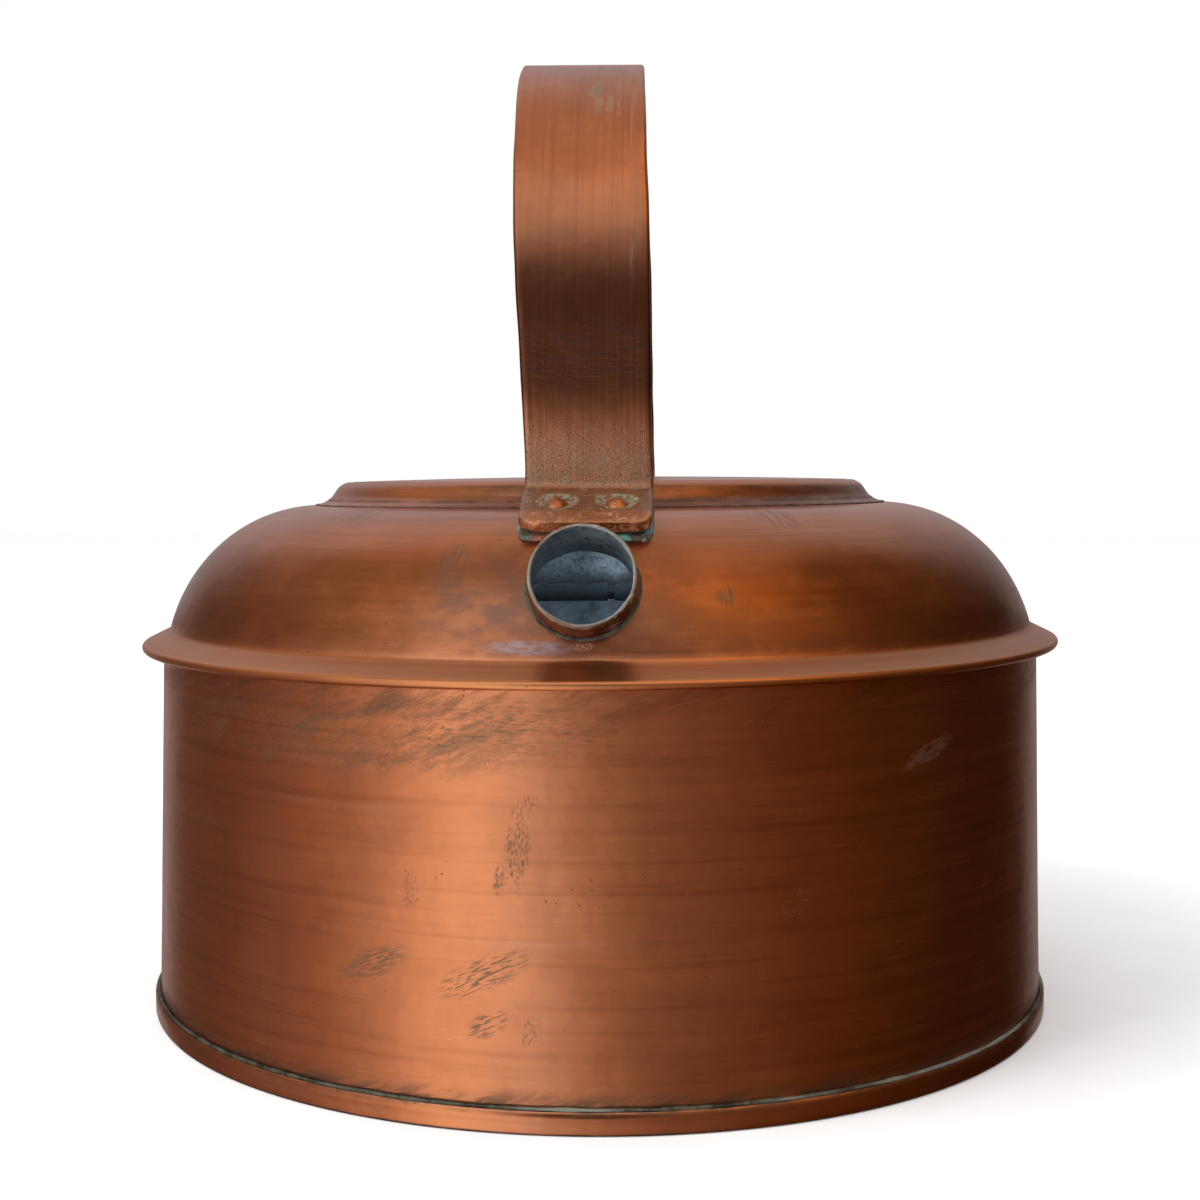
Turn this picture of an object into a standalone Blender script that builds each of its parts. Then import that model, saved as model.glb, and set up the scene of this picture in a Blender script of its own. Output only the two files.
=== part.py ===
"""Copper kettle with a riveted strap handle and an open tube spout.

Frame: metres, +Z up, the origin at the centre of the underside, the spout towards -Y and the handle's arch
in the YZ plane.
"""

from math import atan2, cos, pi, radians, sin, sqrt, tan

import bmesh
import bpy
from mathutils import Matrix, Vector

COLLECTION = "copper_kettle"

# ---------------------------------------------------------------- driving dimensions, metres
SHEET = 0.0011  # copper sheet of the pan, the wall and the dome
GAP = 0.0003  # clearance between touching pieces
LARGE_STEPS = 60  # sides of the large turned pieces
SMALL_STEPS = 16  # sides of rivets, washers and the like

BASE_RADIUS = 0.1265  # outside of the pan's folded rim
RIM_HEIGHT = 0.0055
RIM_ROUND = 0.0010

WALL_RADIUS = 0.1251  # outside of the wall, produced down to z = 0
WALL_TAPER = 0.0233  # radius lost for each metre of height
WALL_TOP = 0.1029
SEAM_WIDTH = 0.0020

DOME_CENTRE_R = 0.08026  # the shoulder is a quarter ellipse turned about the axis
DOME_CENTRE_Z = 0.09337
DOME_HALF_WIDTH = 0.04234
DOME_HALF_HEIGHT = 0.04574
MOUTH_RADIUS = 0.0709  # filler opening in the dome
FLANK_END_Z = 0.1063  # where the ellipse ends, just above the crease
CREASE = (0.1212, 0.1056)  # where the sheet turns out into the flange

HEM_CENTRE = (0.1273, 0.1012)  # the flange's edge is folded under and rounded about this circle
HEM_RADIUS = 0.0012
HEM_SLOPE = radians(26)  # fall of the flange from the crease to its edge
HEM_LENGTH = 0.0032

NECK_SHEET = 0.0007
NECK_FOOT_RADIUS = 0.0804
NECK_TOP_Z = 0.1455
NECK_TOP_RADIUS = 0.0721  # where the level top begins to round over
NECK_INNER_RADIUS = 0.0672
LEDGE_RADIUS = 0.0708  # the lid's edge lies on a ledge inside this circle
LEDGE_Z = 0.1444

SPOUT_MOUTH = Vector((0, -0.1210, 0.1246))
SPOUT_RISE = radians(23)
SPOUT_MOUTH_RADIUS = 0.01235
SPOUT_ROOT_RADIUS = 0.0135
SPOUT_SHEET = 0.0010
SPOUT_LENGTH = 0.026

STRAP_THICKNESS = 0.0030
STRAP_FOOT_WIDTH = 0.0314
STRAP_TOP_WIDTH = 0.0334
STRAP_LEAN = 0.035  # sideways shift for each metre of height: the arch leans to -X
ARCH_RADIUS = 0.0800  # middle of the strap's thickness
ARCH_CENTRE_Z = 0.1795
FOOT_BEND_RADIUS = 0.0040
FOOT_END_R = 0.1022
FOOT_CORNER = 0.0035
PAD_THICKNESS = 0.0009
PAD_WIDTH = 0.0320
PAD_INNER_R = 0.0816
PAD_END_R = 0.1029

RIVET_R = 0.0945  # distance of the rivets from the axis
RIVET_SPREAD = 0.0071
RIVET_SHANK = 0.0020
RIVET_HEAD = 0.0027
RIVET_HOLE = 0.0023
ROVE_RADIUS = 0.0048
ROVE_THICKNESS = 0.0010
ROVE_SEAT = 0.0020  # below the dome's outer surface, so that the flat washer clears its curve

LID_RADIUS = 0.0704
LID_SHEET = 0.0009
LID_SKIRT_RADIUS = 0.0663
LID_SKIRT_DEPTH = 0.0105
LID_CROWN = 0.0011  # rise of the lid's middle above its edge

KNOB_RADIUS = 0.0125
KNOB_STEM = 0.0045
KNOB_BASE = 0.0075
KNOB_HEIGHT = 0.0235
KNOB_BORE = 0.0018
KNOB_SHANK = 0.0015

# colour, metallic, roughness
COPPER = ((0.52, 0.21, 0.11), 1.0, 0.34)
BRIGHT_COPPER = ((0.66, 0.29, 0.16), 1.0, 0.30)
DARK_COPPER = ((0.36, 0.17, 0.11), 1.0, 0.42)
VERDIGRIS = ((0.16, 0.30, 0.26), 0.2, 0.80)
SOLDER = ((0.30, 0.30, 0.28), 0.9, 0.55)
BRAZE = ((0.55, 0.38, 0.18), 1.0, 0.45)
TIN = ((0.30, 0.33, 0.36), 1.0, 0.50)


# ---------------------------------------------------------------- the dome's curve, used by many pieces
def dome_z(radius, offset=0.0):
    """Height of the dome's outer surface at this radius; inside the crest circle it is level."""
    reach = max(radius - DOME_CENTRE_R, 0.0) / (DOME_HALF_WIDTH + offset)
    return DOME_CENTRE_Z + (DOME_HALF_HEIGHT + offset) * sqrt(1 - reach * reach)


def dome_slope(radius):
    """Angle, from the level, of the dome's surface at this radius."""
    reach = max(radius - DOME_CENTRE_R, 0.0) / DOME_HALF_WIDTH
    return atan2(DOME_HALF_HEIGHT * reach, DOME_HALF_WIDTH * sqrt(1 - reach * reach))


def above_dome(radius, height):
    """(r, z) of the point this far out along the surface's normal."""
    slope = dome_slope(radius)
    return radius + height * sin(slope), dome_z(radius) + height * cos(slope)


def arc(centre, radius, start, end, count):
    """Points along an arc in the profile plane, both ends included."""
    turns = [start + (end - start) * i / count for i in range(count + 1)]
    return [(centre[0] + radius * cos(t), centre[1] + radius * sin(t)) for t in turns]


# ---------------------------------------------------------------- building blocks
def clear_scene():
    for obj in list(bpy.data.objects):
        bpy.data.objects.remove(obj, do_unlink=True)


def make_material(name, finish):
    colour, metallic, roughness = finish
    material = bpy.data.materials.new(name)
    material.use_nodes = True
    shader = material.node_tree.nodes["Principled BSDF"]
    shader.inputs["Base Color"].default_value = (*colour, 1)
    shader.inputs["Metallic"].default_value = metallic
    shader.inputs["Roughness"].default_value = roughness
    material.diffuse_color = (*colour, 1)
    return material


def new_object(name, bm, collection, finish=None):
    mesh = bpy.data.meshes.new(name)
    bm.to_mesh(mesh)
    bm.free()
    mesh.shade_smooth()
    mesh.set_sharp_from_angle(angle=radians(35))
    obj = bpy.data.objects.new(name, mesh)
    collection.objects.link(obj)
    if finish:
        mesh.materials.append(make_material(name, finish))
    else:
        obj.hide_render = True
        obj.display_type = "WIRE"
    return obj


def turned(name, profile, collection, finish=None, closed=True, steps=LARGE_STEPS):
    """A profile of (radius, z) points, turned about the object's Z axis.

    The points run down the outer side. A closed profile goes on up its inner side.
    """
    bm = bmesh.new()
    verts = [bm.verts.new((radius, 0, z)) for radius, z in profile]
    pairs = list(zip(verts, verts[1:]))
    if closed:
        pairs.append((verts[-1], verts[0]))
    for pair in pairs:
        bm.edges.new(pair)
    obj = new_object(name, bm, collection, finish)
    screw = obj.modifiers.new("turn", "SCREW")
    screw.steps = screw.render_steps = steps
    screw.use_merge_vertices = True
    screw.merge_threshold = 0.00001
    return obj


def plug(name, radius, low, high, collection, steps):
    """A cylindrical cutter about the object's Z axis."""
    profile = [(0, high), (radius, high), (radius, low), (0, low)]
    return turned(name, profile, collection, closed=False, steps=steps)


def block(name, low, high, collection, corner=0.0):
    """A box between two corners, with its upright edges rounded."""
    low, high = Vector(low), Vector(high)
    bm = bmesh.new()
    place = Matrix.Translation((low + high) / 2) @ Matrix.Diagonal((*(high - low), 1))
    bmesh.ops.create_cube(bm, size=1, matrix=place)
    if corner:
        upright = [e for e in bm.edges if abs(e.verts[0].co.z - e.verts[1].co.z) > GAP]
        bmesh.ops.bevel(bm, geom=upright, offset=corner, segments=4, profile=0.5, affect="EDGES")
    return new_object(name, bm, collection)


def thicken(obj, thickness):
    solidify = obj.modifiers.new("thickness", "SOLIDIFY")
    solidify.thickness = thickness
    solidify.offset = -1
    solidify.use_even_offset = True


def boolean(obj, other, operation="DIFFERENCE"):
    modifier = obj.modifiers.new(operation.lower() + "_" + other.name, "BOOLEAN")
    modifier.operation = operation
    modifier.object = other


# ---------------------------------------------------------------- body
def make_base(parts):
    inner = BASE_RADIUS - SHEET
    corner = (BASE_RADIUS - RIM_ROUND, RIM_ROUND)
    outer = [(inner + 0.0002, RIM_HEIGHT), (BASE_RADIUS - 0.0003, RIM_HEIGHT)]
    outer += [(BASE_RADIUS, RIM_HEIGHT - 0.0004)]
    outer += arc(corner, RIM_ROUND, 0, -pi / 2, 4)
    profile = [(0, SHEET), (inner - 0.0008, SHEET), (inner, SHEET + 0.0005)] + outer + [(0, 0)]
    turned("base_pan", profile, parts, COPPER, closed=False)

    wall = wall_radius(RIM_HEIGHT) + GAP
    foot = RIM_HEIGHT + GAP
    profile = [(wall, foot + 0.0008), (BASE_RADIUS - 0.0006, foot), (wall, foot)]
    turned("base_solder_seam", profile, parts, SOLDER)


def wall_radius(z):
    return WALL_RADIUS - WALL_TAPER * z


def make_wall(parts, cutters):
    bottom = SHEET + GAP + 0.0001
    top_r, bottom_r = wall_radius(WALL_TOP), wall_radius(bottom)
    profile = [(top_r, WALL_TOP), (bottom_r, bottom), (bottom_r - SHEET, bottom), (top_r - SHEET, WALL_TOP)]
    wall = turned("body_wall", profile, parts, COPPER)
    seam = turned("wall_braze_seam", profile, parts, BRAZE)
    half = SEAM_WIDTH / 2
    back = WALL_RADIUS + SHEET
    slit = block("wall_slit", (-half - GAP, 0.1, 0), (half + GAP, back, WALL_TOP + SHEET), cutters)
    strip = block("seam_strip", (-half, 0.1, 0), (half, back, WALL_TOP + SHEET), cutters)
    boolean(wall, slit)
    boolean(seam, strip, "INTERSECT")


def inner_side(points, thickness):
    """The points of a sheet's other side, from its far end back to its start."""
    result = []
    for i, (r, z) in enumerate(points):
        before, after = points[max(i - 1, 0)], points[min(i + 1, len(points) - 1)]
        along = Vector((after[0] - before[0], after[1] - before[1])).normalized()
        result.append((r + along.y * thickness, z - along.x * thickness))
    return result[::-1]


def make_dome(parts):
    """One sheet: the level ring round the mouth, the quarter ellipse, the flange and its folded edge."""
    end = sqrt(1 - ((FLANK_END_Z - DOME_CENTRE_Z) / DOME_HALF_HEIGHT) ** 2)
    last = atan2(sqrt(1 - end * end), end)
    outer = [(MOUTH_RADIUS, DOME_CENTRE_Z + DOME_HALF_HEIGHT)]
    count = 9
    for i in range(count + 1):
        turn = pi / 2 + (last - pi / 2) * i / count
        r = DOME_CENTRE_R + DOME_HALF_WIDTH * cos(turn)
        outer.append((r, DOME_CENTRE_Z + DOME_HALF_HEIGHT * sin(turn)))
    outer.append(CREASE)

    along = Vector((cos(HEM_SLOPE), -sin(HEM_SLOPE)))
    proud = Vector((sin(HEM_SLOPE), cos(HEM_SLOPE)))
    centre = Vector(HEM_CENTRE)
    start = centre - along * HEM_LENGTH
    tip = arc(HEM_CENTRE, HEM_RADIUS, pi / 2 - HEM_SLOPE, -pi / 2 - HEM_SLOPE, 6)
    fold = [tuple(start - proud * HEM_RADIUS), tuple(start + proud * (HEM_RADIUS - SHEET))]
    return turned("shoulder_dome", outer + tip + fold + inner_side(outer, SHEET), parts, COPPER)


def make_neck(parts):
    """A collar: a ledge for the lid, a rounded top, a side that leans in, and a foot that sweeps out."""
    seat = DOME_CENTRE_Z + DOME_HALF_HEIGHT + GAP
    foot, mouth, top = NECK_FOOT_RADIUS, NECK_INNER_RADIUS, NECK_TOP_Z
    outside = [(mouth, LEDGE_Z - 0.0035), (mouth, LEDGE_Z - 0.0003), (mouth + 0.0003, LEDGE_Z)]
    outside += [(LEDGE_RADIUS, LEDGE_Z), (LEDGE_RADIUS + 0.0001, top - 0.0002), (LEDGE_RADIUS + 0.0003, top)]
    outside += [(NECK_TOP_RADIUS, top), (0.0734, 0.1450), (0.0744, 0.1442), (0.0751, 0.1432)]
    outside += [(0.0756, 0.1422), (0.0763, 0.1413), (0.0773, 0.1406), (0.0786, 0.1400)]
    outside += [(foot - 0.0004, seat + 0.0004), (foot, seat + 0.0002), (foot, seat)]
    sheet = NECK_SHEET
    inside = [(0.0770, seat), (0.0756, seat + 0.0010), (0.0748, 0.1420), (0.0738, 0.1434)]
    inside += [(mouth + sheet, LEDGE_Z - sheet), (mouth + sheet, LEDGE_Z - 0.0035)]
    turned("neck_ring", outside + inside, parts, COPPER)

    edge = foot + GAP
    profile = [(edge, seat + 0.0004), (edge + 0.0005, seat), (edge, seat)]
    turned("neck_solder_seam", profile, parts, SOLDER)


# ---------------------------------------------------------------- spout
def make_spout(parts, cutters, dome):
    tilt = pi / 2 - SPOUT_RISE
    lip = SPOUT_SHEET / 3
    mouth, root, sheet = SPOUT_MOUTH_RADIUS, SPOUT_ROOT_RADIUS, SPOUT_SHEET
    profile = [(mouth - lip, 0), (mouth, -lip), (root, -SPOUT_LENGTH)]
    profile += [(root - sheet, -SPOUT_LENGTH), (mouth - sheet, -lip), (mouth - sheet + lip, 0)]
    tube = turned("spout_tube", profile, parts, DARK_COPPER, steps=28)
    hole = plug("spout_hole", root + GAP + 0.0001, -0.040, 0.010, cutters, 28)
    reach = plug("fillet_reach", root + 0.0018, -0.040, 0.010, cutters, 28)
    for obj in (tube, hole, reach):
        obj.location = SPOUT_MOUTH
        obj.rotation_euler = (tilt, 0, 0)

    # The tube is trimmed to follow the inside of the dome.
    trim = 0.0032
    crown = (DOME_CENTRE_Z + DOME_HALF_HEIGHT - trim)
    inside = [(0, crown)]
    for i in range(9):
        turn = pi / 2 * (1 - i / 8)
        r = DOME_CENTRE_R + (DOME_HALF_WIDTH - trim) * cos(turn)
        inside.append((r, DOME_CENTRE_Z + (DOME_HALF_HEIGHT - trim) * sin(turn)))
    inside.append((0, DOME_CENTRE_Z))
    boolean(tube, turned("dome_inside", inside, cutters, closed=False))
    boolean(dome, hole)

    skin = dome_skin("spout_solder_fillet", GAP + 0.0008, 0.0008, 0.0985, 0.1207, parts, SOLDER)
    boolean(skin, reach, "INTERSECT")
    boolean(skin, hole)
    clear = block("pad_clearance", (-0.03, -PAD_END_R - GAP, 0.10), (0.03, 0.13, 0.15), cutters)
    boolean(skin, clear)


def dome_skin(name, height, thickness, inner_r, outer_r, parts, finish):
    """A layer that follows the dome, its outer side this height above it."""
    count = 8
    radii = [inner_r + (outer_r - inner_r) * i / count for i in range(count + 1)]
    skin = turned(name, [above_dome(r, height) for r in radii], parts, finish, closed=False)
    thicken(skin, thickness)
    return skin


# ---------------------------------------------------------------- handle
def strap_path():
    """(y, z) points along the middle of the strap, from the front foot's end to the rear one's."""
    rise = GAP + PAD_THICKNESS + GAP + STRAP_THICKNESS / 2
    bend_start = DOME_CENTRE_R + 0.0055
    corner_end = FOOT_END_R - FOOT_CORNER
    count = 5
    radii = [FOOT_END_R - FOOT_CORNER * (1 - cos(pi / 4 * i)) for i in range(2)]
    radii += [corner_end + (bend_start - corner_end) * i / count for i in range(count + 1)]
    foot = [above_dome(r, rise) for r in radii]
    slope = dome_slope(bend_start)
    centre_r = ARCH_RADIUS + FOOT_BEND_RADIUS
    touch_r, touch_z = foot[-1]
    tangent_r = centre_r - FOOT_BEND_RADIUS * sin(-slope)
    tangent_z = touch_z + (touch_r - tangent_r) * sin(slope)
    centre = (centre_r, tangent_z + FOOT_BEND_RADIUS * cos(slope))
    bend = arc(centre, FOOT_BEND_RADIUS, radians(-90) + slope * 0.5, -pi, 5)
    leg = [(ARCH_RADIUS, centre[1] + (ARCH_CENTRE_Z - centre[1]) * i / 3) for i in range(1, 3)]
    side = foot[:-1] + bend + leg
    top = arc((0, ARCH_CENTRE_Z), ARCH_RADIUS, pi, 0, 24)
    front = [(-r, z) for r, z in side]
    return front + top + [(-y, z) for y, z in reversed(front)]


def strap_width(z):
    rise = min(max((z - 0.150) / 0.070, 0), 1)
    return STRAP_FOOT_WIDTH + (STRAP_TOP_WIDTH - STRAP_FOOT_WIDTH) * rise * rise * (3 - 2 * rise)


def strap_lean(z):
    return -STRAP_LEAN * max(z - 0.148, 0)


def corner_inset(distance):
    """How far a foot's rounded corner pulls in the side, at this distance from the foot's end."""
    short = max(FOOT_CORNER - distance, 0)
    return FOOT_CORNER - sqrt(FOOT_CORNER * FOOT_CORNER - short * short)


def make_strap(parts):
    path = [Vector(point) for point in strap_path()]
    run = [0.0]
    for start, end in zip(path, path[1:]):
        run.append(run[-1] + (end - start).length)
    bm = bmesh.new()
    sides = []
    for side in (-1, 1):
        row = []
        for i, (y, z) in enumerate(path):
            along = (path[min(i + 1, len(path) - 1)] - path[max(i - 1, 0)]).normalized()
            half = strap_width(z) / 2 - corner_inset(min(run[i], run[-1] - run[i]))
            x = strap_lean(z) + side * half
            # The normal points outwards: up at the arch, away from the axis on the legs.
            y_out, z_out = y - along.y * STRAP_THICKNESS / 2, z + along.x * STRAP_THICKNESS / 2
            row.append(bm.verts.new((x, y_out, z_out)))
        sides.append(row)
    left, right = sides
    for i in range(len(path) - 1):
        bm.faces.new((left[i], right[i], right[i + 1], left[i + 1]))
    strap = new_object("handle_strap", bm, parts, BRIGHT_COPPER)
    thicken(strap, STRAP_THICKNESS)
    bevel = strap.modifiers.new("edges", "BEVEL")
    bevel.width = 0.0005
    bevel.segments = 1
    bevel.limit_method = "ANGLE"
    bevel.angle_limit = radians(50)
    return strap


def rivet_place(side, end):
    """Where a rivet crosses the dome's surface, with its Z axis along the surface's normal."""
    tilt = dome_slope(RIVET_R)
    place = Matrix.Translation((side * RIVET_SPREAD, end * RIVET_R, dome_z(RIVET_R)))
    return place @ Matrix.Rotation(-end * tilt, 4, "X")


def make_handle(parts, cutters, dome):
    strap = make_strap(parts)
    under = GAP + PAD_THICKNESS + GAP
    head = under + STRAP_THICKNESS + GAP
    for end, end_name in ((-1, "front"), (1, "rear")):
        pad_name = "handle_pad_" + end_name
        height = GAP + PAD_THICKNESS
        pad = dome_skin(pad_name, height, PAD_THICKNESS, PAD_INNER_R - 0.003, 0.112, parts, VERDIGRIS)
        ends = sorted((end * PAD_INNER_R, end * PAD_END_R))
        half = PAD_WIDTH / 2
        outline = block(pad_name + "_outline", (-half, ends[0], 0.11), (half, ends[1], 0.15), cutters, FOOT_CORNER)
        boolean(pad, outline, "INTERSECT")
        for side, side_name in ((-1, "left"), (1, "right")):
            tag = end_name + "_" + side_name
            place = rivet_place(side, end)
            profile = [(0, head + 0.0017), (RIVET_HEAD * 0.45, head + 0.0015), (RIVET_HEAD * 0.85, head + 0.0007)]
            profile += [(RIVET_HEAD, head), (RIVET_SHANK, head)]
            tail = -ROVE_SEAT - ROVE_THICKNESS
            profile += [(RIVET_SHANK, tail - 0.0006), (RIVET_SHANK * 0.6, tail - 0.0011), (0, tail - 0.0012)]
            rivet = turned("rivet_" + tag, profile, parts, COPPER, closed=False, steps=SMALL_STEPS)
            washer = [(ROVE_RADIUS, -ROVE_SEAT), (ROVE_RADIUS, tail), (RIVET_HOLE, tail)]
            washer += [(RIVET_HOLE, -ROVE_SEAT)]
            rove = turned("rove_" + tag, washer, parts, COPPER, steps=SMALL_STEPS)
            hole = plug("hole_" + tag, RIVET_HOLE, -0.004, 0.008, cutters, SMALL_STEPS)
            for obj in (rivet, rove, hole):
                obj.matrix_world = place
            for obj in (dome, pad, strap):
                boolean(obj, hole)


# ---------------------------------------------------------------- lid
def make_lid(parts):
    """The lid's pieces hang on an empty on the axis that the lid lifts along."""
    seat = LEDGE_Z + GAP
    top = seat + LID_SHEET
    crown = top + LID_CROWN
    outer = [(KNOB_BORE, crown), (LID_RADIUS * 0.4, crown - LID_CROWN * 0.16)]
    outer += [(LID_RADIUS * 0.75, crown - LID_CROWN * 0.58), (LID_RADIUS - 0.0003, top), (LID_RADIUS, top - 0.0003)]
    inner = [(LID_RADIUS, seat + 0.0001), (LID_RADIUS - 0.0002, seat), (LID_SKIRT_RADIUS - 0.0020, seat)]
    inner += [(LID_RADIUS * 0.4, crown - LID_CROWN * 0.16 - LID_SHEET), (KNOB_BORE, crown - LID_SHEET)]
    plate = turned("lid_plate", outer + inner, parts, COPPER)

    skirt_top = seat - GAP
    bottom = seat - LID_SKIRT_DEPTH
    outside, inside = LID_SKIRT_RADIUS, LID_SKIRT_RADIUS - LID_SHEET
    profile = [(outside, skirt_top), (outside, bottom), (inside, bottom), (inside, skirt_top)]
    skirt = turned("lid_skirt", profile, parts, COPPER)

    foot = crown + GAP
    ball_z = foot + KNOB_HEIGHT - KNOB_RADIUS * 0.72
    tip = foot + KNOB_HEIGHT
    knob_profile = [(KNOB_BORE, tip), (KNOB_BORE + 0.0022, tip - 0.0001)]
    for i in range(8):
        turn = radians(62 - 16 * i)
        knob_profile.append((KNOB_RADIUS * cos(turn), ball_z + KNOB_RADIUS * 0.72 * sin(turn)))
    knob_profile += [(KNOB_STEM, foot + 0.0062), (KNOB_STEM, foot + 0.0035), (KNOB_BASE - 0.001, foot + 0.0014)]
    knob_profile += [(KNOB_BASE, foot + 0.0008), (KNOB_BASE, foot), (KNOB_BORE, foot)]
    knob = turned("lid_knob", knob_profile, parts, BRIGHT_COPPER, steps=20)

    under = crown - LID_SHEET - GAP
    rove_profile = [(0.0055, under), (0.0055, under - ROVE_THICKNESS), (KNOB_BORE, under - ROVE_THICKNESS)]
    rove = turned("knob_rove", rove_profile + [(KNOB_BORE, under)], parts, COPPER, steps=SMALL_STEPS)
    cap = tip + GAP
    tail = under - ROVE_THICKNESS - GAP
    pin = [(0, cap + 0.0012), (0.0014, cap + 0.0010), (0.0026, cap), (KNOB_SHANK, cap), (KNOB_SHANK, tail)]
    pin += [(0.0027, tail), (0.0018, tail - 0.0010), (0, tail - 0.0011)]
    rivet = turned("knob_rivet", pin, parts, COPPER, closed=False, steps=SMALL_STEPS)

    axis = bpy.data.objects.new("lid_lift_axis", None)
    axis.location = (0, 0, seat)
    axis.empty_display_size = 0.02
    parts.objects.link(axis)
    for obj in (plate, skirt, knob, rove, rivet):
        obj.parent = axis
        obj.location = (0, 0, -seat)


def main():
    clear_scene()
    parts = bpy.data.collections.new(COLLECTION)
    cutters = bpy.data.collections.new("cutters")
    for collection in (parts, cutters):
        bpy.context.scene.collection.children.link(collection)
    make_base(parts)
    make_wall(parts, cutters)
    dome = make_dome(parts)
    make_neck(parts)
    make_spout(parts, cutters, dome)
    make_handle(parts, cutters, dome)
    make_lid(parts)


main()
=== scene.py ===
"""Looks of the copper kettle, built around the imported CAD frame.

Metres, +Z up, the spout towards -Y. Angles round the body are measured from the spout side towards +X.
"""

from math import atan2, cos, exp, hypot, pi, radians, sin, sqrt

import bmesh
import bpy
from mathutils import Matrix, Vector, noise


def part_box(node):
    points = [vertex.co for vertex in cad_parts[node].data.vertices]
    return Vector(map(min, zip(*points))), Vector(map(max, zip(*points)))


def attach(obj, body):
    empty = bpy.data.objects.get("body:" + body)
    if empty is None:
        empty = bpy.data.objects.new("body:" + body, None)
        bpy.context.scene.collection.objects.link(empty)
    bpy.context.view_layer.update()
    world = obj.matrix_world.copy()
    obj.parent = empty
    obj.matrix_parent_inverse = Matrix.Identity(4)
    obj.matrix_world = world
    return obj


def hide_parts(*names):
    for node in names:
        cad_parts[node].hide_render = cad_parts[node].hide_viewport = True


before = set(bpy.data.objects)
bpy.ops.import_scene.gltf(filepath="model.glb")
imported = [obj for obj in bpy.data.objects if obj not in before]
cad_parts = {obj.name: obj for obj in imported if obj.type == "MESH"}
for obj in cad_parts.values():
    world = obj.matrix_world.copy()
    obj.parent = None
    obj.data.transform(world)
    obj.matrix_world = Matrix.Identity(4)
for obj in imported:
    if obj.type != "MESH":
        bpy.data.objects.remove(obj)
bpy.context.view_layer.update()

MM = 0.001

# ---------------- sizes, from the frame where it has them
def extent(node):
    """The outer radius, the bottom and the top of a turned CAD node."""
    low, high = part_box(node)
    return high.x, low.z, high.z


BASE_RADIUS, _, RIM_TOP = extent("base_pan")
WALL_FOOT_RADIUS, WALL_FOOT, WALL_TOP = extent("body_wall")
NECK_RADIUS, NECK_FOOT, NECK_TOP = extent("neck_ring")
LID_RADIUS, LID_SEAT, LID_CROWN = extent("lid_plate")
WALL_TAPER = 0.0233
WALL_LIP_R = 0.1204
SHEET = 1.1 * MM

# The dome's quarter ellipse, its flange and the flange's folded edge, as the CAD solid has them.
CREST_R, CREST_Z = 0.08026, 0.09337
DOME_WIDTH, DOME_HEIGHT = 0.04234, 0.04574
FLANK_END_Z = 0.1063
HEM_R, HEM_Z, HEM_RADIUS, HEM_LENGTH = 0.1273, 0.1012, 0.00118, 0.0032
HEM_SLOPE = radians(26)
CREASE = (0.12118, 0.1056)
CREASE_REACH = 6.2 * MM  # how far in from the folded edge the flange starts to bend up
MOUTH_RADIUS = 0.0709
LEAN = 0.0065  # the shoulder sits this much higher, for each metre to the right

SPOUT_MOUTH = Vector((0, -0.1210, 0.1251))
SPOUT_RISE = radians(23)
SPOUT_RADIUS, SPOUT_ROOT, SPOUT_LENGTH = 0.01235, 0.0135, 0.026

STRAP_THICKNESS = 3 * MM
ARCH_RADIUS = 0.0800
ARCH_CENTRE_Z = 0.1795
FOOT_BEND = 0.0040
FOOT_END_R = 0.1022
FOOT_CORNER = 0.0035
STRAP_RISE = 3 * MM  # the middle of the strap above the dome, at a foot
RIVET_R, RIVET_SPREAD = 0.0945, 0.0071


# ---------------- shape helpers
def wobble(x, y, z, size, seed=0.0):
    """Smooth unevenness from -1 to 1, about this size across."""
    return noise.noise(Vector((x / size + seed, y / size - seed, z / size + 2 * seed)))


def dome_z(radius, height=0.0):
    reach = max(radius - CREST_R, 0.0) / (DOME_WIDTH + height)
    return CREST_Z + (DOME_HEIGHT + height) * sqrt(max(1 - reach * reach, 0))


def dome_slope(radius):
    reach = min(max(radius - CREST_R, 0.0) / DOME_WIDTH, 0.999)
    return atan2(DOME_HEIGHT * reach, DOME_WIDTH * sqrt(1 - reach * reach))


def above_dome(radius, height):
    slope = dome_slope(radius)
    return radius + height * sin(slope), dome_z(radius) + height * cos(slope)


def arc(centre_r, centre_z, radius, start, end, count):
    turns = [start + (end - start) * i / count for i in range(count + 1)]
    return [(centre_r + radius * cos(t), centre_z + radius * sin(t)) for t in turns]


def line(start, end, count):
    return [tuple(a + (b - a) * i / count for a, b in zip(start, end)) for i in range(count + 1)]


def near(radius, z, *moves):
    """Outline points that lie this many millimetres out from and above a point."""
    return [(radius + out * MM, z + up * MM) for out, up in moves]


def round_outline(points, radius, count=3):
    """The outline with each inner corner cut back by this radius and curved."""
    result = [points[0]]
    for before, corner, after in zip(points, points[1:], points[2:]):
        before, corner, after = Vector(before), Vector(corner), Vector(after)
        start = corner + (before - corner).normalized() * min(radius, (before - corner).length * 0.49)
        end = corner + (after - corner).normalized() * min(radius, (after - corner).length * 0.49)
        for i in range(count + 1):
            t = i / count
            result.append(tuple(start.lerp(corner, t).lerp(corner.lerp(end, t), t)))
    result.append(points[-1])
    return result


def finish_mesh(name, bm, materials, sharp=40):
    bmesh.ops.recalc_face_normals(bm, faces=bm.faces)
    mesh = bpy.data.meshes.new(name)
    bm.to_mesh(mesh)
    bm.free()
    mesh.shade_smooth()
    mesh.set_sharp_from_angle(angle=radians(sharp))
    for material in materials:
        mesh.materials.append(material)
    return placed(name, mesh)


def placed(name, data):
    obj = bpy.data.objects.new(name, data)
    bpy.context.scene.collection.objects.link(obj)
    return obj


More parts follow.
